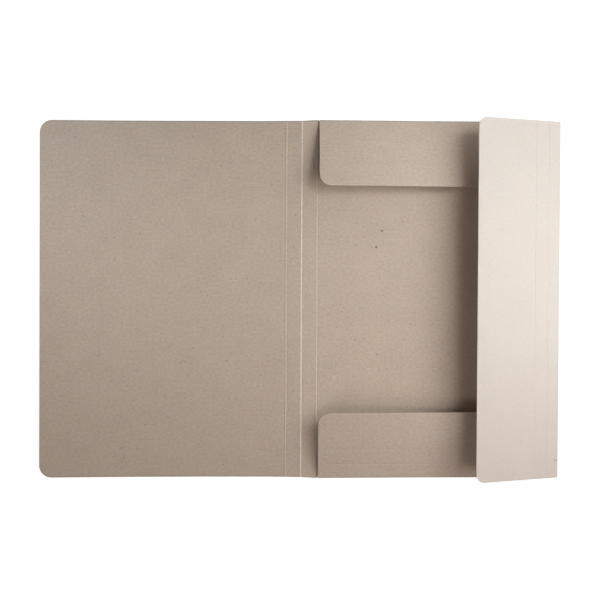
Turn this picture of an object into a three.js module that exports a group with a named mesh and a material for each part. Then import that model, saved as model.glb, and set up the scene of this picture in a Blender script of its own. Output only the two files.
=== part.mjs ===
// Document folder: one sheet of recycled card, die-cut, creased and folded, lying open.
// Millimetres, +Z up. The inner face of the cover and the back panel looks up, and the
// folded flaps show their outer face.
//
// The flat blank is measured in two directions. "Along" runs from the cover over the spine
// and the back panel to the side flap, from 0 at the middle crease of the spine. "Across"
// runs from the lower end flap to the upper one, from 0 half way between them.

import * as THREE from "three";
import { mergeVertices } from "three/addons/utils/BufferGeometryUtils.js";

// The card, and the score lines pressed into it from its outer face
const cardThickness = 0.5;
const creaseWidth = 1.8;
const creaseHeight = 0.25;
const cardColour = 0xb0a08f;

// The cover, the spine and the back panel
const folderHeight = 320;
const coverWidth = 234.1;
const backWidth = 230.9;
const spineCreasePitch = 13.8;
const coverCornerRadius = 11;
const outOfSquare = 0.004;
const coverSkew = 0.0017;

// The two end flaps, folded in from the upper and the lower edge of the back panel
const endFlapDepth = 60.5;
const endFlapTaper = 1.6;
const endFlapSetback = 2;
const endFlapCornerRadius = 11;
const endFoldRadius = 0.8;
const endFoldSpread = 0.7;
const reliefSlit = 0.6;

// The side flap, folded in over the end flaps and standing half open
const sideFlapLength = 84.7;
const sideFlapCornerRadius = 8;
const sideFlapSlope = THREE.MathUtils.degToRad(23.5);
const sideFoldAllowance = 0.4;
const flapCreasePitch = 13.5;

// How the card lies: it springs up a little wherever nothing holds it down
const coverCurlHeight = 5.5;
const coverCurlTwist = 1;
const coverCurlStart = 48;
const coverCurlPower = 2.3;
const spineRiseHeight = 1.2;
const spineRiseReach = 45;
const cornerRiseAtSpine = 1.1;
const cornerRiseAtFlap = 2;
const cornerRiseReach = 110;
const cornerRiseCalm = 50;
const endFlapRise = 15;
const endFlapClearance = 0.5;

// How finely the shape is divided
const cornerDivisions = 5;
const foldDivisions = 7;
const panelDivisions = 8;
const flapDivisions = 4;
const acrossDivisions = 7;
const weldDistance = 0.001;

const halfHeight = folderHeight / 2;
const middleHeight = cardThickness / 2;
const sideFoldRadius = endFoldRadius + sideFoldAllowance;
const endFoldInset = endFoldRadius + cardThickness / 2;
const endFlapStart = spineCreasePitch + endFlapSetback;
const endFlapEnd = backWidth - endFlapSetback;
const endFlapSpan = endFlapEnd - endFlapStart;
const coverCornerStart = coverCornerRadius - coverWidth;
const spineCreases = [-spineCreasePitch, 0, spineCreasePitch];
const flapCreases = [flapCreasePitch, 2 * flapCreasePitch];

// Evenly spaced places from one value to another, without the first.
function steps(from, to, count) {
  return Array.from({ length: count }, (_, i) => from + ((to - from) * (i + 1)) / count);
}

// Places from a rounded corner's start to the free edge, closer together where it turns most.
function cornerSteps(start, freeEdge) {
  return steps(0, Math.PI / 2, cornerDivisions).map((turn) => start + (freeEdge - start) * Math.sin(turn));
}

// Both edges and the ridge of each score line.
function scoreSteps(creases) {
  return creases.flatMap((crease) => [crease - creaseWidth / 2, crease, crease + creaseWidth / 2]);
}

// How much a rounded corner takes off the edge beside it, at a distance past its start.
function cornerCut(radius, past) {
  return past > 0 ? radius - Math.sqrt(Math.max(0, radius ** 2 - past ** 2)) : 0;
}

// The height of the bead at a place that the score lines raise on the inner face.
function bead(place, creases) {
  const nearest = Math.min(...creases.map((crease) => Math.abs(place - crease)));
  return creaseHeight * Math.max(0, 1 - nearest / (creaseWidth / 2));
}

// The cover's free edge curls up from the table, one corner more than the other.
function coverCurl(along, across) {
  const reach = Math.max(0, (-along - coverCurlStart) / (coverWidth - coverCurlStart));
  const height = coverCurlHeight - (coverCurlTwist * across) / halfHeight;
  return height * reach ** coverCurlPower;
}

// The spine stands in a shallow ridge.
function spineRise(along) {
  return spineRiseHeight * Math.max(0, 1 - Math.abs(along) / spineRiseReach) ** 2;
}

// The ends of the spine and of the folds beside it rise further, drawn up by the end flaps.
function cornerRise(along, across) {
  const outward = Math.max(0, (Math.abs(across) - cornerRiseCalm) / (halfHeight - cornerRiseCalm));
  let height;
  if (along < 0) {
    height = cornerRiseAtSpine * Math.max(0, 1 + along / spineRiseReach) ** 2;
  } else if (along < spineCreasePitch) {
    height = THREE.MathUtils.lerp(cornerRiseAtSpine, cornerRiseAtFlap, along / spineCreasePitch);
  } else {
    const past = Math.min(1, (along - spineCreasePitch) / cornerRiseReach);
    height = (cornerRiseAtFlap * (1 + Math.cos(Math.PI * past))) / 2;
  }
  return height * outward ** 2;
}

// A point in the middle of the card, on the cover, the spine or the back panel.
function lyingPoint(along, across) {
  const rise = coverCurl(along, across) + spineRise(along) + cornerRise(along, across);
  return new THREE.Vector3(along, across, middleHeight + rise + bead(along, spineCreases));
}

// Half the lying sheet's height. It widens beside the spine, and the end folds draw it in again.
function cutHalfHeight(along) {
  const widening = THREE.MathUtils.clamp(along / spineCreasePitch, 0, 1);
  const narrowing = THREE.MathUtils.clamp((endFlapEnd - along) / endFlapSpan, 0, 1);
  const corner = cornerCut(coverCornerRadius, coverCornerStart - along);
  return halfHeight + endFoldSpread * Math.min(widening, narrowing) - corner;
}

function endFoldLine(along) {
  return cutHalfHeight(along) - endFoldInset;
}

// A fold is an arc of a radius from one slope to another, then a straight stretch with score
// lines. This gives how far outwards and upwards it leads, at a distance past its start.
function foldedPlace(fold, distance) {
  const arcLength = foldArc(fold);
  const turn = fold.from + Math.min(distance, arcLength) / fold.radius;
  const straight = Math.max(0, distance - arcLength);
  const raised = bead(distance - arcLength / 2, flapCreases);
  return {
    outward: fold.radius * (Math.sin(turn) - Math.sin(fold.from))
      + straight * Math.cos(turn) - raised * Math.sin(turn),
    upward: fold.radius * (Math.cos(fold.from) - Math.cos(turn))
      + straight * Math.sin(turn) + raised * Math.cos(turn),
  };
}

function foldArc(fold) {
  return fold.radius * (fold.to - fold.from);
}

// Distances past a fold's start: its arc, and both sides of each score line after it.
function foldSteps(fold) {
  const arcLength = foldArc(fold);
  const scores = scoreSteps(flapCreases).map((place) => place + arcLength / 2);
  return [...steps(0, arcLength, foldDivisions), ...scores];
}

const sideFold = { radius: sideFoldRadius, from: 0, to: Math.PI - sideFlapSlope };
const sideFlapEdge = foldArc(sideFold) + sideFlapLength;
const sideFlapCornerStart = sideFlapEdge - sideFlapCornerRadius;

function sideFlapPoint(distance, across) {
  const place = foldedPlace(sideFold, distance);
  return new THREE.Vector3(backWidth + place.outward, across, middleHeight + place.upward);
}

// How far an end flap may rise at its last corner and still clear the side flap above it.
function roomUnderSideFlap() {
  const foldTop = middleHeight + sideFoldRadius * (1 + Math.cos(sideFlapSlope));
  const cardAbove = cardThickness / 2 / Math.cos(sideFlapSlope);
  const underside = foldTop + endFlapSetback * Math.tan(sideFlapSlope) - cardAbove;
  return Math.max(0, underside - 2 * endFoldRadius - cardThickness - endFlapClearance);
}

// An end flap springs up beside the spine, and the side flap presses it down at its other end.
function endFold(along) {
  const past = (along - endFlapStart) / endFlapSpan;
  const rise = THREE.MathUtils.lerp(endFlapRise, roomUnderSideFlap(), past ** 2);
  const foldLine = endFoldLine(along);
  const lift = lyingPoint(along, foldLine).z - lyingPoint(along, foldLine - endFoldInset).z;
  return {
    radius: endFoldRadius,
    from: Math.atan2(lift, endFoldInset),
    to: Math.PI - Math.atan2(rise, endFlapDepth),
  };
}

// The end flap's points at one place along it, from its fold line to its free edge.
function endFlapColumn(along, side) {
  const fold = endFold(along);
  const corners = [endFlapStart + endFlapCornerRadius - along, along - endFlapEnd + endFlapCornerRadius];
  const cut = Math.max(...corners.map((past) => cornerCut(endFlapCornerRadius, past)));
  const taper = (endFlapTaper * (along - endFlapStart)) / endFlapSpan;
  const freeEdge = foldArc(fold) + endFlapDepth - taper - cut;
  const scored = foldSteps(fold);
  const distances = [0, ...scored, ...steps(scored.at(-1), freeEdge, flapDivisions)];
  const base = lyingPoint(along, side * endFoldLine(along));
  return distances.map((distance) => {
    const place = foldedPlace(fold, distance);
    return new THREE.Vector3(along, base.y + side * place.outward, base.z + place.upward);
  });
}

// Places along the lying sheet where its shape is worked out.
function lyingPlaces() {
  const scores = scoreSteps(spineCreases);
  const flapCornerStart = endFlapStart + endFlapCornerRadius;
  const flapCornerEnd = endFlapEnd - endFlapCornerRadius;
  return [
    ...cornerSteps(coverCornerStart, -coverWidth).reverse(),
    coverCornerStart,
    ...steps(coverCornerStart, -spineRiseReach, panelDivisions),
    ...steps(-spineRiseReach, scores[0], flapDivisions),
    ...scores.slice(1),
    endFlapStart - reliefSlit,
    ...cornerSteps(flapCornerStart, endFlapStart).reverse(),
    flapCornerStart,
    ...steps(flapCornerStart, flapCornerEnd, 2 * panelDivisions),
    ...cornerSteps(flapCornerEnd, endFlapEnd),
    endFlapEnd + reliefSlit,
    backWidth,
  ];
}

// Every place along the sheet, with half its height there and its points across.
function sheetColumns() {
  const lying = lyingPlaces().map((along) => ({
    along,
    half: cutHalfHeight(along),
    point: (across) => lyingPoint(along, across),
  }));
  const scored = foldSteps(sideFold);
  const distances = [
    ...scored,
    ...steps(scored.at(-1), sideFlapCornerStart, flapDivisions),
    ...cornerSteps(sideFlapCornerStart, sideFlapEdge),
  ];
  const folded = distances.map((distance) => ({
    along: backWidth + distance,
    half: halfHeight - cornerCut(sideFlapCornerRadius, distance - sideFlapCornerStart),
    point: (across) => sideFlapPoint(distance, across),
  }));
  return [...lying, ...folded];
}

// Shares of the height across, from -1 to 1, closer together towards the upper and lower edge.
const acrossShares = [-1, ...steps(-1, 1, 2 * acrossDivisions)]
  .map((share) => Math.sin((share * Math.PI) / 2));

// The sheet's middle surface, without its thickness: columns of points, each set joined to the next.
function middlePatches() {
  const columns = sheetColumns();
  const inner = (column) => column.half - endFoldInset;
  const margin = (column, side) => {
    const ends = side < 0 ? [column.half, inner(column)] : [inner(column), column.half];
    return ends.map((end) => column.point(side * end));
  };
  const beforeFlaps = columns.filter((column) => column.along < endFlapStart);
  const afterFlaps = columns.filter((column) => column.along > endFlapEnd);
  const flapPlaces = columns
    .map((column) => column.along)
    .filter((along) => along >= endFlapStart && along <= endFlapEnd);
  return [
    columns.map((column) => acrossShares.map((share) => column.point(share * inner(column)))),
    ...[beforeFlaps, afterFlaps].flatMap(
      (group) => [-1, 1].map((side) => group.map((column) => margin(column, side)))),
    flapPlaces.map((along) => endFlapColumn(along, 1)),
    flapPlaces.map((along) => endFlapColumn(along, -1).reverse()),
  ];
}

// The blank isn't cut quite square: towards the upper edge its places lean outwards from the
// cover's free edge, and the side fold leans most. The cover's upper and lower edges also fall
// away a little towards its free edge. This gives a point's true place.
function leaned(point) {
  const share = (point.x + coverWidth) / (coverWidth + backWidth);
  const fall = coverSkew * Math.min(0, point.x);
  return new THREE.Vector3(point.x + outOfSquare * point.y * share, point.y + fall, point.z);
}

// One surface from patches of points, with its triangles facing the sheet's inner side.
function joinPatches(patches) {
  const corners = [];
  for (const patch of patches) {
    for (let i = 0; i + 1 < patch.length; i += 1) {
      for (let j = 0; j + 1 < patch[i].length; j += 1) {
        const [a, b, c, d] = [patch[i][j], patch[i + 1][j], patch[i + 1][j + 1], patch[i][j + 1]];
        corners.push(a, b, c, a, c, d);
      }
    }
  }
  const surface = mergeVertices(new THREE.BufferGeometry().setFromPoints(corners.map(leaned)), weldDistance);
  surface.computeVertexNormals();
  return surface;
}

// A closed solid from a surface: an inner face, an outer face and a wall along every free edge.
function thicken(surface, thickness) {
  const { position, normal } = surface.attributes;
  const count = position.count;
  const points = [];
  for (const side of [1, -1]) {
    for (let i = 0; i < count; i += 1) {
      const outward = new THREE.Vector3().fromBufferAttribute(normal, i);
      const point = new THREE.Vector3().fromBufferAttribute(position, i);
      points.push(point.addScaledVector(outward, (side * thickness) / 2));
    }
  }
  const faces = [];
  const edges = new Map();
  const index = surface.index.array;
  for (let i = 0; i < index.length; i += 3) {
    const [a, b, c] = index.subarray(i, i + 3);
    faces.push(a, b, c, c + count, b + count, a + count);
    for (const [from, to] of [[a, b], [b, c], [c, a]]) {
      edges.set(`${from} ${to}`, [from, to]);
    }
  }
  for (const [from, to] of edges.values()) {
    if (!edges.has(`${to} ${from}`)) {
      faces.push(from, from + count, to + count, from, to + count, to);
    }
  }
  const solid = new THREE.BufferGeometry().setFromPoints(points);
  solid.setIndex(faces);
  solid.computeVertexNormals();
  return solid;
}

// Puts the middle of the solid's outline over the origin. The table is at height 0 already.
function centre(solid) {
  solid.computeBoundingBox();
  const middle = solid.boundingBox.getCenter(new THREE.Vector3());
  return solid.translate(-middle.x, -middle.y, 0);
}

const card = new THREE.MeshStandardMaterial({ color: cardColour, roughness: 0.9, metalness: 0 });
const sheet = new THREE.Mesh(centre(thicken(joinPatches(middlePatches()), cardThickness)), card);
sheet.name = "folder_sheet";

const folder = new THREE.Group();
folder.add(sheet);

export default folder;
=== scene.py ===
# An open document folder of recycled card: its folded sheet, its finish and a studio around it.
import math

import bpy
from mathutils import Matrix, Vector


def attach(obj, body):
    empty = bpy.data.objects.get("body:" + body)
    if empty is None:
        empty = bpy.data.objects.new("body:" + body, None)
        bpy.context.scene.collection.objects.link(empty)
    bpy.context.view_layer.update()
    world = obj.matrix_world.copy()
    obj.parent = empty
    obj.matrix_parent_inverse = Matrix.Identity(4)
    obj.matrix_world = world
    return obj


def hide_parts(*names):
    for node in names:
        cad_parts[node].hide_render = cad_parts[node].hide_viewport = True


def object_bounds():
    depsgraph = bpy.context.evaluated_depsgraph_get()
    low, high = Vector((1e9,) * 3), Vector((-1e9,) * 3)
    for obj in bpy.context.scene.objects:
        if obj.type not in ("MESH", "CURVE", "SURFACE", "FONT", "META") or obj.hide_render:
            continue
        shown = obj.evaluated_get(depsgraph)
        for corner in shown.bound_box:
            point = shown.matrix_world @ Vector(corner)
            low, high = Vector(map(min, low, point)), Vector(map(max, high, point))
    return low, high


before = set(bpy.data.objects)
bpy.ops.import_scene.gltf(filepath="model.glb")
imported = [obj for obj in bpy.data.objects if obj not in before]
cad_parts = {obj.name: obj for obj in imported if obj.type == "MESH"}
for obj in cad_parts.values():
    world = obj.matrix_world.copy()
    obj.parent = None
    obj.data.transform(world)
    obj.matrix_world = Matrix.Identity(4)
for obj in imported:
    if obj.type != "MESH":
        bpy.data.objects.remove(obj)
cadLow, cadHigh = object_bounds()
mm = 0.001
print("frame loaded")


# A node tree being built. One call adds any node, with its settings first and its sockets after them.
class Maker:
    def __init__(self, tree):
        self.tree = tree

    def add(self, kind, settings=None, sockets=None, output=0):
        node = self.tree.nodes.new(kind)
        for name, value in (settings or {}).items():
            setattr(node, name, value)
        for name, value in (sockets or {}).items():
            if isinstance(value, Wire):
                self.tree.links.new(value.socket, node.inputs[name])
            else:
                node.inputs[name].default_value = value
        return Wire(self, node.outputs[output]) if node.outputs else None

    def maths(self, operation, *values):
        return self.add("ShaderNodeMath", {"operation": operation}, dict(enumerate(values)))


# One socket of a tree. An expression on these adds its Math nodes.
class Wire:
    def __init__(self, maker, socket):
        self.maker = maker
        self.socket = socket

    def output(self, name):
        return Wire(self.maker, self.socket.node.outputs[name])

    def __add__(self, other):
        return self.maker.maths("ADD", self, other)

    def __radd__(self, other):
        return self.maker.maths("ADD", other, self)

    def __sub__(self, other):
        return self.maker.maths("SUBTRACT", self, other)

    def __rsub__(self, other):
        return self.maker.maths("SUBTRACT", other, self)

    def __mul__(self, other):
        return self.maker.maths("MULTIPLY", self, other)

    def __rmul__(self, other):
        return self.maker.maths("MULTIPLY", other, self)

    def __truediv__(self, other):
        return self.maker.maths("DIVIDE", self, other)

    def __rtruediv__(self, other):
        return self.maker.maths("DIVIDE", other, self)

    def __pow__(self, other):
        return self.maker.maths("POWER", self, other)

    def __neg__(self):
        return self.maker.maths("MULTIPLY", self, -1)

    def __abs__(self):
        return self.maker.maths("ABSOLUTE", self)

    def above(self, least):
        return self.maker.maths("MAXIMUM", self, least)

    def below(self, most):
        return self.maker.maths("MINIMUM", self, most)

    def share(self):
        return self.above(0).below(1)

    def sine(self):
        return self.maker.maths("SINE", self)

    def cosine(self):
        return self.maker.maths("COSINE", self)


# The card blank as the die cuts it, flat, measured from the middle crease of the spine
blank = {
    "cardThickness": 0.5 * mm,
    "coverWidth": 234.1 * mm,
    "backWidth": 230.9 * mm,
    "halfHeight": 160 * mm,
    "coverCornerRadius": 11 * mm,
    "spineCreases": [-13.8 * mm, 0, 13.8 * mm],
    "endFlapStart": 15.8 * mm,
    "endFlapEnd": 228.9 * mm,
    "endFlapDepth": 60.5 * mm,
    "endFlapTaper": 1.6 * mm,
    "endFlapCornerRadius": 11 * mm,
    "endFoldInset": 1.05 * mm,
    "endFoldSpread": 0.7 * mm,
    "reliefSlit": 0.6 * mm,
    "sideFlapLength": 84.7 * mm,
    "sideFlapCornerRadius": 8 * mm,
    "flapCreases": [13.5 * mm, 27 * mm],
    "scoreRows": [0.25 * mm, 0.5 * mm, 0.75 * mm, 1.0 * mm, 1.3 * mm, 1.7 * mm, 2.2 * mm],
    "rimWidth": 0.7 * mm,
    "step": 4.5 * mm,
    "cornerSteps": 12,
    "foldSteps": 16,
    "endFlapSteps": 8,
    "pastLastCrease": 3 * mm,  # where an end flap's wider rows begin
    "weldDistance": 0.005 * mm,
    "sharpAngle": math.radians(40),
}

# How the folded blank lies: its curl, its spine, its flaps, its score lines and the waves of the card
folding = {
    "outOfSquare": 0.004,
    "coverSkew": 0.0017,
    "coverCurlHeight": 5.5 * mm,
    "coverCurlTwist": 1 * mm,
    "coverCurlStart": 48 * mm,
    "coverCurlPower": 2.3,
    "spineRiseHeight": 1.2 * mm,
    "spineRiseReach": 45 * mm,
    "cornerRiseAtSpine": 1.1 * mm,
    "cornerRiseAtFlap": 2 * mm,
    "cornerRiseReach": 110 * mm,
    "cornerRiseCalm": 50 * mm,
    "endFoldRadius": 0.8 * mm,
    "endFlapRise": 15 * mm,
    "endFlapRisePressed": 0.55 * mm,
    "sideFoldRadius": 1.2 * mm,
    "sideFlapSlope": math.radians(23.5),
    "scoreHeight": 0.25 * mm,
    "sideScoreHeight": 0.19 * mm,
    "endScoreHeight": 0.09 * mm,
    "scoreWidth": 1.8 * mm,
    "dipPlace": 0.64,  # how far from its middle a score line has its dips, as a share of its width
    "dipSharpness": 7.0,
    "dipDepth": 0.25,
    "waveHeight": 0.25 * mm,
    "waveFloor": 0.3,
    "waveLength": 90 * mm,
    "waveDetail": 2.0,
    "waveRoughness": 0.4,
    "waveSeed": 4.0,
}


def spaced(start, end, step):  # places from start to end, without the start
    count = max(1, round(abs(end - start) / step))
    return [start + (end - start) * (i + 1) / count for i in range(count)]


def rounding(start, edge):  # places from a rounded corner's start to its free edge, closer at the edge
    count = blank["cornerSteps"]
    return [start + (edge - start) * math.sin(math.pi / 2 * (i + 1) / count) for i in range(count)]


def cornerCut(radius, past):  # what a rounded corner takes off the edge beside it
    return radius - math.sqrt(max(0.0, radius ** 2 - past ** 2)) if past > 0 else 0.0


def scored(crease):  # rows on both sides of a score line
    offsets = sorted([-row for row in blank["scoreRows"]] + [0] + blank["scoreRows"])
    return [crease + offset for offset in offsets]


def withScores(start, end, creases):  # places from start to end, with rows at each score line on the way
    places = []
    last = start
    for crease in creases:
        rows = [row for row in scored(crease) if row < end]
        places += spaced(last, rows[0], blank["step"]) + rows[1:]
        last = rows[-1]
    return places + spaced(last, end, blank["step"])


sideFoldArc = folding["sideFoldRadius"] * (math.pi - folding["sideFlapSlope"])
sideFlapEdge = blank["backWidth"] + sideFoldArc + blank["sideFlapLength"]


def halfAt(along):  # half the blank's height, a little more beside the end flaps and less in its corners
    widening = min(1, max(0, along / blank["spineCreases"][2]))
    span = blank["endFlapEnd"] - blank["endFlapStart"]
    narrowing = min(1, max(0, (blank["endFlapEnd"] - along) / span))
    coverRadius = blank["coverCornerRadius"]
    flapRadius = blank["sideFlapCornerRadius"]
    coverCorner = cornerCut(coverRadius, coverRadius - blank["coverWidth"] - along)
    flapCorner = cornerCut(flapRadius, along - sideFlapEdge + flapRadius)
    spread = blank["endFoldSpread"] * min(widening, narrowing)
    return blank["halfHeight"] + spread - coverCorner - flapCorner


def endFlapReach(along):  # how far an end flap goes past its fold line
    corner = blank["endFlapCornerRadius"]
    past = max(blank["endFlapStart"] + corner - along, along - blank["endFlapEnd"] + corner)
    span = blank["endFlapEnd"] - blank["endFlapStart"]
    share = (along - blank["endFlapStart"]) / span
    rise = folding["endFlapRise"] * (1 - share ** 2) + folding["endFlapRisePressed"] * share ** 2
    foldArc = folding["endFoldRadius"] * (math.pi - math.atan2(rise, blank["endFlapDepth"]))
    return foldArc + blank["endFlapDepth"] - blank["endFlapTaper"] * share - cornerCut(corner, past)


def blankColumns():  # every place along the blank where its mesh has a column
    rim = blank["rimWidth"]
    step = blank["step"]
    coverEdge = -blank["coverWidth"]
    coverCorner = coverEdge + blank["coverCornerRadius"]
    start, end = blank["endFlapStart"], blank["endFlapEnd"]
    flapCorner = blank["endFlapCornerRadius"]
    foldedPart = blank["backWidth"] + sideFoldArc
    creases = [foldedPart - sideFoldArc / 2 + crease for crease in blank["flapCreases"]]
    sideCorner = sideFlapEdge - blank["sideFlapCornerRadius"]
    return sorted(set(
        rounding(coverCorner, coverEdge) + [coverEdge + rim, coverCorner]
        + withScores(coverCorner, start - blank["reliefSlit"], blank["spineCreases"])
        + rounding(start + flapCorner, start) + [start + rim, start + flapCorner]
        + spaced(start + flapCorner, end - flapCorner, step)
        + rounding(end - flapCorner, end) + [end - rim]
        + [end + blank["reliefSlit"], blank["backWidth"]]
        + spaced(blank["backWidth"], foldedPart, sideFoldArc / blank["foldSteps"])
        + withScores(foldedPart, sideCorner, creases)
        + rounding(sideCorner, sideFlapEdge) + [sideFlapEdge - rim]
    ))


def endFlapRows(along):  # distances past the fold line where an end flap's column has its points
    foldArc = folding["endFoldRadius"] * math.pi
    reach = endFlapReach(along)
    rows = spaced(0, foldArc, foldArc / blank["foldSteps"])
    creases = [foldArc / 2 + crease for crease in blank["flapCreases"]]
    rows += withScores(foldArc, creases[-1] + blank["pastLastCrease"], creases)
    rest = reach - blank["rimWidth"] - rows[-1]
    count = blank["endFlapSteps"]
    rows += [rows[-1] + rest * (i + 1) / count for i in range(count)]
    return [0] + rows + [reach]


def cutBlank():  # the flat blank as one mesh, with its fold lines and its free outline marked
    columns = blankColumns()
    inset = blank["endFoldInset"]
    foldArc = folding["endFoldRadius"] * math.pi
    start, end = blank["endFlapStart"], blank["endFlapEnd"]
    shareCount = round(2 * blank["halfHeight"] / blank["step"])
    shares = [2 * i / shareCount - 1 for i in range(shareCount + 1)]
    points, faces, known = [], [], {}
    facts = {"flap": [], "foldLine": [], "rim": [], "roll": []}

    def corner(along, across, flap=0.0, foldLine=0.0, rim=0.0, roll=0.0):
        key = (round(along / mm, 4), round(across / mm, 4))
        if key not in known:
            known[key] = len(points)
            points.append((along, across, 0.0))
            for name, value in (("flap", flap), ("foldLine", foldLine), ("rim", rim), ("roll", roll)):
                facts[name].append(value)
        return known[key]

    def patch(rows):
        for first, second in zip(rows, rows[1:]):
            for a, b, c, d in zip(first, second, second[1:], first[1:]):
                faces.append((a, b, c, d))

    def freeEnd(along):
        return 1.0 if along in (columns[0], columns[-1]) else 0.0

    patch([[corner(along, share * (halfAt(along) - inset), rim=freeEnd(along)) for share in shares]
           for along in columns])
    for side in (-1, 1):
        for group in ([c for c in columns if c < start], [c for c in columns if c > end]):
            rows = []
            for along in group:
                ends = [side * (halfAt(along) - inset), side * halfAt(along)]
                row = [corner(along, ends[0], rim=freeEnd(along)), corner(along, ends[1], rim=1.0)]
                rows.append(row if side > 0 else row[::-1])
            patch(rows)
        rows = []
        for along in [c for c in columns if start <= c <= end]:
            foldLine = halfAt(along) - inset
            distances = endFlapRows(along)
            row = []
            for distance in distances:
                free = distance == distances[-1] or along in (start, end)
                rolled = min(1, distance / foldArc)
                row.append(corner(along, side * (foldLine + distance), 1.0 if distance else 0.0, foldLine,
                                  1.0 if free and distance else 0.0, math.sin(math.pi * rolled)))
            rows.append(row if side > 0 else row[::-1])
        patch(rows)
    mesh = bpy.data.meshes.new("cardBlank")
    mesh.from_pydata(points, [], faces)
    for name, values in facts.items():
        mesh.attributes.new(name, "FLOAT", "POINT").data.foreach_set("value", values)
    flat = mesh.uv_layers.new(name="flat")
    for loop in mesh.loops:
        flat.data[loop.index].uv = points[loop.vertex_index][:2]
    return mesh


# The rule that folds the blank, as Geometry Nodes: each size is a named input of the tree.
def foldingTree(materials):
    tree = bpy.data.node_groups.new("foldCard", "GeometryNodeTree")
    tree.interface.new_socket("Geometry", in_out="INPUT", socket_type="NodeSocketGeometry")
    tree.interface.new_socket("Geometry", in_out="OUTPUT", socket_type="NodeSocketGeometry")
    sizes = dict(folding)
    for name in ("coverWidth", "halfHeight", "backWidth", "endFlapStart", "endFlapEnd",
                 "endFlapDepth", "endFoldInset", "cardThickness", "weldDistance"):
        sizes[name] = blank[name]
    sizes["creasePitch"] = blank["spineCreases"][2]
    sizes["firstFlapCrease"], sizes["secondFlapCrease"] = blank["flapCreases"]
    for name in sizes:
        tree.interface.new_socket(name, in_out="INPUT", socket_type="NodeSocketFloat")
    n = Maker(tree)
    given = n.add("NodeGroupInput")
    s = {name: given.output(name) for name in sizes}

    def attribute(name):
        return n.add("GeometryNodeInputNamedAttribute", {"data_type": "FLOAT"}, {"Name": name})

    def separate(vector):
        parts = n.add("ShaderNodeSeparateXYZ", sockets={0: vector})
        return parts, parts.output("Y"), parts.output("Z")

    def combine(x, y, z):
        return n.add("ShaderNodeCombineXYZ", sockets={"X": x, "Y": y, "Z": z})

    def hump(away):  # 1 where its value is 0 or less, falling smoothly to 0 where it is 1 or more
        return (away.share() * math.pi).cosine() * 0.5 + 0.5

    def score(place, crease, height):  # one score line's rounded bead, with a shallow dip along both sides
        away = abs(place - crease) / s["scoreWidth"]
        dip = hump(abs(away - s["dipPlace"]) * s["dipSharpness"])
        return (hump(away * 2) - dip * s["dipDepth"]) * height

    def wave(along, across):  # the card isn't quite flat anywhere
        where = combine(along / s["waveLength"], across / s["waveLength"], s["waveSeed"])
        noise = n.add("ShaderNodeTexNoise", sockets={"Vector": where, "Scale": 1.0,
                      "Detail": s["waveDetail"], "Roughness": s["waveRoughness"]})
        return (noise - s["waveFloor"]).above(0) * s["waveHeight"]

    def lyingHeight(along, across):  # the cover, the spine and the back panel
        reach = ((-along - s["coverCurlStart"]) / (s["coverWidth"] - s["coverCurlStart"])).above(0)
        edgeHeight = s["coverCurlHeight"] - s["coverCurlTwist"] * across / s["halfHeight"]
        curl = edgeHeight * reach ** s["coverCurlPower"]
        spine = s["spineRiseHeight"] * (1 - abs(along) / s["spineRiseReach"]).above(0) ** 2
        outward = ((abs(across) - s["cornerRiseCalm"]) / (s["halfHeight"] - s["cornerRiseCalm"])).above(0)
        rising = s["cornerRiseAtSpine"] * (1 + along.below(0) / s["spineRiseReach"]).above(0) ** 2
        middle = (s["cornerRiseAtFlap"] - s["cornerRiseAtSpine"]) * (along / s["creasePitch"]).share()
        falling = hump((along - s["creasePitch"]) / s["cornerRiseReach"])
        cornerRise = (rising + middle) * falling * outward ** 2
        return s["cardThickness"] / 2 + curl + spine + cornerRise + wave(along, across)

    # Where a fold and the flap after it lead, outwards and upwards
    def foldedPlace(distance, radius, first, last, scoreHeight):
        arc = radius * (last - first)
        turn = first + distance.below(arc) / radius
        straight = (distance - arc).above(0)
        place = distance - arc / 2
        creases = (s["firstFlapCrease"], s["secondFlapCrease"])
        raised = score(place, creases[0], scoreHeight) + score(place, creases[1], scoreHeight)
        outward = radius * (turn.sine() - first.sine()) + straight * turn.cosine() - raised * turn.sine()
        upward = radius * (first.cosine() - turn.cosine()) + straight * turn.sine() + raised * turn.cosine()
        return outward, upward

    along, across, _ = separate(n.add("GeometryNodeInputPosition"))
    zero = n.add("ShaderNodeValue")
    zero.socket.default_value = 0
    lying = lyingHeight(along, across)
    for crease in (-s["creasePitch"], zero, s["creasePitch"]):
        lying = lying + score(along, crease, s["scoreHeight"])
    flatPart = along.below(s["backWidth"])
    sideOut, sideUp = foldedPlace((along - s["backWidth"]).above(0), s["sideFoldRadius"], zero,
                                  math.pi - s["sideFlapSlope"], s["sideScoreHeight"])
    foldLine = attribute("foldLine")
    side = n.maths("SIGN", across)
    past = (along - s["endFlapStart"]) / (s["endFlapEnd"] - s["endFlapStart"])
    rise = s["endFlapRise"] + (s["endFlapRisePressed"] - s["endFlapRise"]) * past ** 2
    atFold = lyingHeight(along, side * foldLine)
    lift = atFold - lyingHeight(along, side * (foldLine - s["endFoldInset"]))
    first = n.maths("ARCTAN2", lift, s["endFoldInset"])
    last = math.pi - n.maths("ARCTAN2", rise, s["endFlapDepth"])
    endOut, endUp = foldedPlace(abs(across) - foldLine, s["endFoldRadius"],
                                first, last, s["endScoreHeight"])
    sheetPlace = combine(flatPart + sideOut, across, lying + sideUp)
    flapPlace = combine(along, side * (foldLine + endOut), atFold + endUp)
    onFlap = attribute("flap")
    place = n.add("ShaderNodeMix", {"data_type": "VECTOR"}, {0: onFlap, 4: sheetPlace, 5: flapPlace}, 1)
    x, y, z = separate(place)
    lean = s["outOfSquare"] * y * (x + s["coverWidth"]) / (s["coverWidth"] + s["backWidth"])
    place = combine(x + lean, y + x.below(0) * s["coverSkew"], z)
    flat = given.output("Geometry")
    folded = n.add("GeometryNodeSetPosition", sockets={"Geometry": flat, "Position": place})

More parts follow.
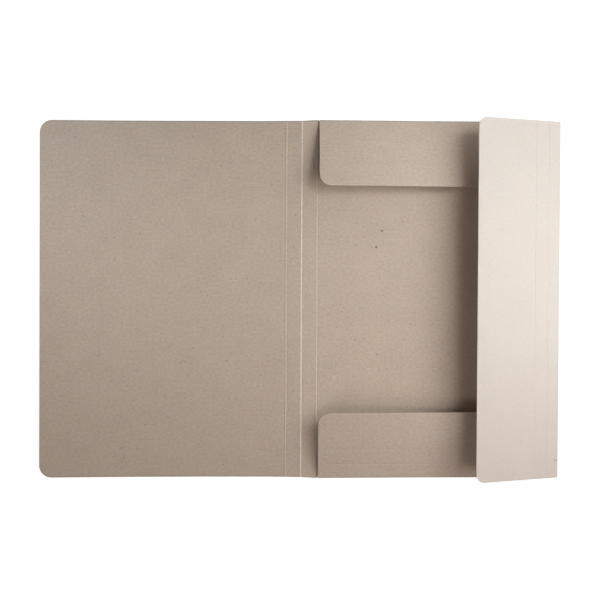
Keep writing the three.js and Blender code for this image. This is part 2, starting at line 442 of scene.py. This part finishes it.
    # Both faces of the card and its cut edge
    normal = n.add("GeometryNodeInputNormal")
    halfDown = s["cardThickness"] * -0.5
    down = n.add("ShaderNodeVectorMath", {"operation": "SCALE"}, {0: normal, "Scale": halfDown})
    outer = n.add("GeometryNodeSetPosition", sockets={"Geometry": folded, "Offset": down})
    grown = n.add("GeometryNodeExtrudeMesh", sockets={"Mesh": outer, "Offset": normal,
                  "Offset Scale": s["cardThickness"], "Individual": False})
    edges = n.add("GeometryNodeSetMaterial", sockets={"Geometry": grown, "Selection": grown.output("Side"),
                  "Material": materials["cutEdge"]})
    back = n.add("GeometryNodeFlipFaces", sockets={"Mesh": outer})
    back = n.add("GeometryNodeSetMaterial", sockets={"Geometry": back, "Material": materials["outside"]})
    joined = n.add("GeometryNodeJoinGeometry")
    for part in (edges, back):
        tree.links.new(part.socket, joined.socket.node.inputs[0])
    weld = {"Geometry": joined, "Distance": s["weldDistance"]}
    welded = n.add("GeometryNodeMergeByDistance", sockets=weld)
    whole = n.add("GeometryNodeRealizeInstances", sockets={"Geometry": welded})
    n.add("NodeGroupOutput", sockets={0: whole})
    return tree, sizes


def foldSheet(materials):
    mesh = cutBlank()
    for name in ("inside", "outside", "cutEdge"):  # the upper face keeps the first
        mesh.materials.append(materials[name])
    builder = bpy.data.objects.new("cardBuilder", mesh)
    bpy.context.scene.collection.objects.link(builder)
    tree, sizes = foldingTree(materials)
    modifier = builder.modifiers.new("fold", "NODES")
    modifier.node_group = tree
    for item in tree.interface.items_tree:
        if item.name in sizes:
            modifier[item.identifier] = sizes[item.name]
    evaluated = builder.evaluated_get(bpy.context.evaluated_depsgraph_get())
    finished = bpy.data.meshes.new_from_object(evaluated)
    bpy.data.objects.remove(builder)
    finished.transform(Matrix.Translation((cadLow.x + blank["coverWidth"], 0, 0)))
    finished.shade_smooth()
    finished.set_sharp_from_angle(angle=blank["sharpAngle"])
    sheet = bpy.data.objects.new("card_folder", finished)
    bpy.context.scene.collection.objects.link(sheet)
    return sheet


# The recycled card: its two faces, its cut edge and what shows in them
card = {
    "insideColour": (0.499, 0.396, 0.315),
    "outsideColour": (0.502, 0.400, 0.324),
    # The side flap's outside is painted paler and greyer than the same card elsewhere, and its texture
    # calmer: painted light and sheen where it tilts towards the lamps
    "sideFlapPaintedLight": (1.11, 1.215, 1.36),
    "sideFlapEvenness": 0.62,
    "sideFlapFade": 1 * mm,  # over this length the side flap's painted light sets in
    "cutColour": (0.560, 0.470, 0.390),
    "wornColour": (0.760, 0.700, 0.640),
    "warmTint": (1.018, 0.996, 0.981),
    "coolTint": (0.987, 1.004, 1.016),
    "tintPatch": 7 * mm,
    "tintContrast": 1.6,
    "cloudPatch": 24 * mm,
    "cloudStrength": 0.09,
    "fibrePatch": 2.2 * mm,
    "fibreStretch": 1.3,
    "fibreStrength": 0.185,
    "grainPatch": 0.6 * mm,
    "grainStretch": 1.6,
    "grainStrength": 0.066,
    "roughness": 0.80,
    "gloss": 0.19,
    "roughnessChange": 0.20,
    "fibreHeight": 0.03 * mm,
    # paler rims along the raised flaps' free edges: a painted highlight
    "rimPaleness": 0.30,
    "sideFlapRim": 0.5,  # the share of that paleness along the side flap's upper and lower edges
    "freeEndRim": 2 * mm,  # how near the side flap's free end it is whole again
    "outlineDarkness": 0.36,
    "endFoldShade": 0.34,
    "spineWear": [0.24, 1.0, 0.42],
    "spineWearWidth": 0.85 * mm,
    "wearPatch": 4 * mm,
    "wearLevel": 0.9,
    "wearChange": 0.5,
    "spineShade": 0.03,
    "spineShadeWidth": 2.2 * mm,
}

# Each face and each pattern takes its noise from another place, so that no two are alike
seeds = {
    "inside": 1.0,
    "outside": 31.0,
    "cutEdge": 61.0,
    "fibre": 0.0,
    "grain": 3.0,
    "wear": 5.0,
    "cloud": 7.0,
    "tint": 11.0,
    "ragged": 13.0,
}

# Small specks of waste paper, one in some cells of a loose pattern
specks = {
    "cell": 7 * mm,
    "radius": 0.42 * mm,
    "leastSize": 0.4,  # the smallest and the range above it, as shares of that radius
    "sizeRange": 0.8,
    "share": 0.28,
    "raggedPatch": 0.8 * mm,
    "raggedness": 0.8,
    "smallReach": 2.0,  # where a speck has faded out, in its own radii
    "plainReach": 1.6,
    "tints": {  # what each kind turns the card's colour to, as factors
        "dark": (0.30, 0.28, 0.28),
        "grey": (0.70, 0.69, 0.69),
        "rust": (0.95, 0.72, 0.62),
        "pale": (1.25, 1.27, 1.30),
    },
    "strengths": {"dark": 0.35, "grey": 0.5, "rust": 0.5, "pale": 0.5},
}

# The specks that stand out: kind, place on the flat blank along and across, radius, all in millimetres
plainSpecks = {
    "inside": [
        ("dark", 72.3, 61.7, 0.75), ("dark", 67.3, 47.0, 0.80), ("grey", 68.7, -49.6, 0.80),
        ("rust", 49.3, 68.7, 0.80), ("rust", 36.7, -10.9, 0.60), ("rust", 32.2, -25.3, 0.60),
        ("grey", 135.7, 71.6, 0.60), ("grey", -5.3, 75.6, 0.60), ("grey", -145.1, 58.9, 0.70),
        ("grey", -48.8, 18.4, 0.60), ("grey", -70.5, -24.8, 0.60), ("rust", -67.0, -55.6, 0.80),
        ("grey", -36.2, -68.5, 0.60), ("grey", -122.6, -87.4, 0.65), ("grey", -181.1, -50.9, 0.60),
        ("grey", -108.2, -57.7, 0.65), ("grey", -158.6, -142.3, 0.60), ("grey", -72.2, 119.6, 0.60),
    ],
    "outside": [
        ("pale", 88.5, -194.1, 0.80), ("rust", 96.9, -186.6, 0.70), ("rust", 308.0, 20.6, 0.42),
        ("dark", 234.6, -144.4, 0.38), ("dark", 235.5, -144.4, 0.36),
        ("grey", 236.5, -144.3, 0.50), ("grey", 237.6, -144.2, 0.50),
    ],
}


# What the card's pattern is drawn with: the nodes of one material, on the flat blank's own coordinates
class CardPattern(Maker):
    def __init__(self, tree, face):
        super().__init__(tree)
        self.face = face
        self.flat = self.add("ShaderNodeUVMap", {"uv_map": "flat"})
        self.along = self.add("ShaderNodeSeparateXYZ", sockets={0: self.flat})
        self.ragged = 1 + self.patches("ragged", specks["raggedPatch"], detail=1.0) * specks["raggedness"]

    def attribute(self, wanted):
        return self.add("ShaderNodeAttribute", {"attribute_name": wanted}, output="Fac")

    def placed(self, scale, shift):  # the flat coordinates at another scale, moved on
        return self.add("ShaderNodeVectorMath", {"operation": "MULTIPLY_ADD"},
                        {0: self.flat, 1: scale, 2: shift})

    def patches(self, pattern, size, stretch=1.0, detail=2.0):  # soft noise about zero, in patches
        shift = seeds[self.face] + seeds[pattern]
        where = self.placed((1 / (size * stretch), 1 / size, 1), (0, 0, shift))
        noise = self.add("ShaderNodeTexNoise", sockets={"Vector": where, "Scale": 1.0, "Detail": detail})
        return noise * 2 - 1

    def mixed(self, mask, first, second):  # the second colour where the mask is 1, the first where it is 0
        return self.add("ShaderNodeMix", {"data_type": "RGBA"}, {0: mask, 6: first, 7: second}, "Result")

    def multiplied(self, base, tint, mask=1.0):  # a colour turned towards its product with a tint
        factor = tint if isinstance(tint, Wire) else (*tint, 1)
        return self.add("ShaderNodeMix", {"data_type": "RGBA", "blend_type": "MULTIPLY"},
                        {0: mask, 6: base, 7: factor}, "Result")

    def mottled(self, colour, strength):  # the card's colour, warmer in some patches and cooler in others
        warmth = (self.patches("tint", card["tintPatch"]) * card["tintContrast"] + 0.5).share()
        tint = self.mixed(warmth, (*card["coolTint"], 1), (*card["warmTint"], 1))
        return self.multiplied((*colour, 1), tint, strength)

    def spineMarks(self):  # rubbed crests and shaded flanks of the score lines in the spine
        wear = 0
        shade = 0
        halfShade = card["spineShadeWidth"] / 2
        for crease, strength in zip(blank["spineCreases"], card["spineWear"]):
            away = abs(self.along - crease)
            wear = (1 - away / card["spineWearWidth"]).above(0) * strength + wear
            shade = (1 - abs(away - halfShade) / halfShade).above(0) * card["spineShade"] + shade
        change = self.patches("wear", card["wearPatch"], detail=1.0) * card["wearChange"]
        return (wear * (card["wearLevel"] + change)).share(), shade

    def smallSpecks(self, base, strength):
        cell = specks["cell"]
        where = self.placed((1 / cell, 1 / cell, 1), (seeds[self.face], 0, 0))
        nearest = self.add("ShaderNodeTexVoronoi", {"voronoi_dimensions": "2D"},
                           {"Vector": where, "Scale": 1.0})
        chance = self.add("ShaderNodeSeparateColor", sockets={0: nearest.output("Color")})
        size = chance.output("Green") * specks["sizeRange"] + specks["leastSize"]
        radius = size * specks["radius"]
        spot = (specks["smallReach"] - nearest * cell * self.ragged / radius).share() * strength
        share = specks["share"] / len(specks["tints"])
        for index, (kind, tint) in enumerate(specks["tints"].items()):
            chosen = self.maths("COMPARE", chance, share * (index + 0.5), share / 2)
            base = self.multiplied(base, tint, spot * chosen * specks["strengths"][kind])
        return base

    def largeSpecks(self, base):
        for kind, tint in specks["tints"].items():
            nearest = None
            for speck, x, y, radius in plainSpecks.get(self.face, []):
                if speck == kind:
                    away = self.add("ShaderNodeVectorMath", {"operation": "DISTANCE"},
                                    {0: self.flat, 1: (x * mm, y * mm, 0)}, "Value") / (radius * mm)
                    nearest = away if nearest is None else nearest.below(away)
            if nearest is not None:
                spot = (specks["plainReach"] - nearest * self.ragged).share()
                base = self.multiplied(base, tint, spot)
        return base


def cardMaterial(name, face, colour):
    material = bpy.data.materials.new(name)
    material.use_nodes = True
    n = CardPattern(material.node_tree, face)
    fibre = n.patches("fibre", card["fibrePatch"], card["fibreStretch"])
    grain = n.patches("grain", card["grainPatch"], card["grainStretch"], detail=1.0)
    cloud = n.patches("cloud", card["cloudPatch"], detail=3.0)
    # 1 beyond the side fold, where the outside's colour is painted paler and greyer, as painted light and
    # sheen
    onSideFlap = ((n.along - blank["backWidth"]) / card["sideFlapFade"]).share()
    calm = 1 - onSideFlap * card["sideFlapEvenness"] if face == "outside" else 1.0

    texture = fibre * card["fibreStrength"] + grain * card["grainStrength"] + cloud * card["cloudStrength"]
    nearFreeEnd = sideFlapEdge - card["freeEndRim"]
    atFreeEnd = ((n.along - nearFreeEnd) / card["sideFlapFade"]).share()
    sideRim = onSideFlap * card["sideFlapRim"] + atFreeEnd * (1 - card["sideFlapRim"])
    raised = n.maths("MAXIMUM", n.attribute("flap"), sideRim)
    # the raised flaps' free edges painted paler, a painted highlight; the lying sheet's outline darker
    edge = raised * (card["rimPaleness"] + card["outlineDarkness"]) - card["outlineDarkness"]
    worn, shade = n.spineMarks()
    brightness = 1 + texture * calm - shade + n.attribute("rim") * edge
    if face == "outside":
        brightness = brightness - n.attribute("roll") * card["endFoldShade"]
    base = n.mottled(colour, calm)
    # the side flap's outside and cut edge painted paler and greyer: painted light and sheen
    if face != "inside":
        base = n.multiplied(base, card["sideFlapPaintedLight"], onSideFlap)
    base = n.add("ShaderNodeVectorMath", {"operation": "SCALE"}, {0: base, "Scale": brightness}, "Vector")
    base = n.mixed(worn, base, (*card["wornColour"], 1))
    base = n.largeSpecks(n.smallSpecks(base, calm))

    height = (fibre + grain) * card["fibreHeight"] * calm  # in metres
    normal = n.add("ShaderNodeBump", sockets={"Strength": 1.0, "Distance": 1.0, "Height": height})
    roughness = card["roughness"] + (fibre + cloud) * card["roughnessChange"]
    shader = material.node_tree.nodes["Principled BSDF"]
    shader.inputs["Specular IOR Level"].default_value = card["gloss"]
    for socket, wire in (("Base Color", base), ("Roughness", roughness), ("Normal", normal)):
        material.node_tree.links.new(wire.socket, shader.inputs[socket])
    return material


cardMaterials = {
    "inside": cardMaterial("cardInside", "inside", card["insideColour"]),
    "outside": cardMaterial("cardOutside", "outside", card["outsideColour"]),
    "cutEdge": cardMaterial("cardCutEdge", "cutEdge", card["cutColour"]),
}
print("card materials made")
sheet = foldSheet(cardMaterials)
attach(sheet, "root")
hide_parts("folder_sheet")
print("sheet folded:", len(sheet.data.polygons), "faces")


# The camera looks down on the folder from the photograph's place
view = {
    "place": (-8.45 * mm, 11.9 * mm, 1100 * mm),
    "turn": (-0.0115, -0.00724, 0.00294),
    "lens": 73.29,
    "sensorWidth": 36,
    "farthest": 20,
}


def setCamera():
    data = bpy.data.cameras.new("studioCamera")
    data.lens = view["lens"]
    data.sensor_width = view["sensorWidth"]
    data.clip_end = view["farthest"]
    camera = bpy.data.objects.new("studioCamera", data)
    camera.location = view["place"]
    camera.rotation_mode = "ZYX"
    camera.rotation_euler = view["turn"]
    bpy.context.scene.collection.objects.link(camera)
    bpy.context.scene.camera = camera


setCamera()
print("camera set")

# Soft lamps all round, in watts: the strongest in front, and small weak ones that even out the light
lamps = {
    "rightLow": {"place": (1.0, 0.55, 0.36), "aim": (0.05, 0, 0), "size": (0.35, 0.35), "power": 1.85,
                 "colour": (1.0, 1.0, 1.02)},
    "backLow": {"place": (0.6, 0.95, 0.36), "aim": (0.05, 0, 0), "size": (0.35, 0.35), "power": 1.79,
                "colour": (0.98, 1.0, 1.01)},
    "frontLeft": {"place": (-0.4, -0.78, 0.71), "aim": (0.05, 0, 0), "size": (0.35, 0.35), "power": 2.45,
                  "colour": (1.06, 1.0, 0.99)},
    "frontRight": {"place": (0.46, -0.41, 1.0), "aim": (0.05, 0, 0), "size": (0.35, 0.35), "power": 2.68,
                   "colour": (1.07, 1.0, 0.98)},
    "nearRight": {"place": (0.55, 0.05, 0.4), "aim": (0.1, 0, 0), "size": (0.25, 0.25), "power": 1.41,
                  "colour": (0.89, 1.0, 0.98)},
    "overFlap": {"place": (0.45, 0.3, 0.6), "aim": (0.1, 0.05, 0), "size": (0.25, 0.25), "power": 0.36,
                 "spread": 70, "colour": (0.93, 1.0, 1.02)},
    "overCover": {"place": (-0.22, 0.02, 0.9), "aim": (-0.22, 0.02, 0), "size": (0.2, 0.2), "power": 0.0242,
                  "spread": 25, "colour": (0.88, 1.0, 1.12)},
    "leftSlant": {"place": (-0.9, 0.2, 0.3), "aim": (-0.22, 0.08, 0), "size": (0.2, 0.2), "power": 0.103,
                  "spread": 30},
    "coolCorner": {"place": (-0.55, 0.45, 0.5), "aim": (-0.27, 0.19, 0), "size": (0.2, 0.2), "power": 0.032,
                   "spread": 30, "colour": (0.72, 1.0, 1.3)},
    "rightClose": {"place": (0.45, -0.02, 0.22), "aim": (0.24, 0, 0), "size": (0.15, 0.3), "power": 0.045,
                   "spread": 60},
    "frontClose": {"place": (0.45, -0.25, 0.25), "aim": (0.21, -0.15, 0.02), "size": (0.2, 0.2),
                   "power": 0.01, "spread": 40, "colour": (1.5, 0.85, 0.75)},
    "backClose": {"place": (0.45, 0.3, 0.25), "aim": (0.23, 0.16, 0.02), "size": (0.2, 0.2), "power": 0.013,
                  "spread": 40, "colour": (0.95, 1.0, 1.05)},
    "underFlap": {"place": (-0.2, 0.14, 0.32), "aim": (0.165, 0.14, 0), "size": (0.1, 0.1), "power": 0.0018,
                  "spread": 20},
}


def addLamp(name, lamp):
    data = bpy.data.lights.new(name, "AREA")
    data.shape = "RECTANGLE"
    data.size, data.size_y = lamp["size"]
    data.energy = lamp["power"]
    data.color = lamp.get("colour", (1, 1, 1))
    data.spread = math.radians(lamp.get("spread", 180))
    made = bpy.data.objects.new(name, data)
    made.location = lamp["place"]
    made.rotation_euler = (Vector(lamp["aim"]) - made.location).to_track_quat("-Z", "Y").to_euler()
    bpy.context.scene.collection.objects.link(made)


# The white floor, which keeps the folder's shadow
whiteFloor = {
    "colour": 0.8,
    "glow": 0.90,  # what the floor shows by itself near the folder; the lamps add the rest
    "shadowShare": 0.25,
    "shadowReach": 0.30,  # beyond this from the middle the floor turns plain white
    "whiteReach": 0.40,
    "halfSize": 2.5,
    "drop": 0.02 * mm,
}


def whiteSeen(n):  # 1 for the rays that show the background: from the camera, off gloss or through glass
    path = n.add("ShaderNodeLightPath")
    return (path + path.output("Is Glossy Ray") + path.output("Is Transmission Ray")).share()


def addFloor():
    mesh = bpy.data.meshes.new("floor")
    half = whiteFloor["halfSize"]
    level = -whiteFloor["drop"]
    corners = [(-half, -half, level), (half, -half, level), (half, half, level), (-half, half, level)]
    mesh.from_pydata(corners, [], [(0, 1, 2, 3)])
    floor = bpy.data.objects.new("floor", mesh)
    bpy.context.scene.collection.objects.link(floor)
    material = bpy.data.materials.new("whiteFloor")
    material.use_nodes = True
    material.node_tree.nodes.clear()
    n = Maker(material.node_tree)
    lit = n.add("ShaderNodeBsdfDiffuse", sockets={"Color": (*[whiteFloor["colour"]] * 3, 1)})
    shadow = n.add("ShaderNodeBsdfDiffuse", sockets={"Color": (*[whiteFloor["shadowShare"]] * 3, 1)})
    glow = n.add("ShaderNodeEmission", sockets={"Strength": whiteFloor["glow"]})
    nearby = n.add("ShaderNodeAddShader", sockets={0: shadow, 1: glow})
    white = n.add("ShaderNodeEmission", sockets={"Strength": 1.0})
    place = n.add("ShaderNodeTexCoord", output="Object")
    away = n.add("ShaderNodeVectorMath", {"operation": "LENGTH"}, {0: place}, "Value")
    fade = whiteFloor["whiteReach"] - whiteFloor["shadowReach"]
    distant = ((away - whiteFloor["shadowReach"]) / fade).share()
    shown = n.add("ShaderNodeMixShader", sockets={0: distant, 1: nearby, 2: white})
    surface = n.add("ShaderNodeMixShader", sockets={0: whiteSeen(n), 1: lit, 2: shown})
    n.add("ShaderNodeOutputMaterial", sockets={"Surface": surface})
    mesh.materials.append(material)


def setWorld():  # white where it is seen, and dark as a light
    world = bpy.data.worlds.new("studioWorld")
    bpy.context.scene.world = world
    world.use_nodes = True
    background = world.node_tree.nodes["Background"]
    seen = whiteSeen(Maker(world.node_tree))
    world.node_tree.links.new(seen.socket, background.inputs["Strength"])
    background.inputs["Color"].default_value = (1, 1, 1, 1)


for name, lamp in lamps.items():
    addLamp(name, lamp)
addFloor()
setWorld()
bpy.context.scene.view_settings.view_transform = "Standard"
print("studio ready")
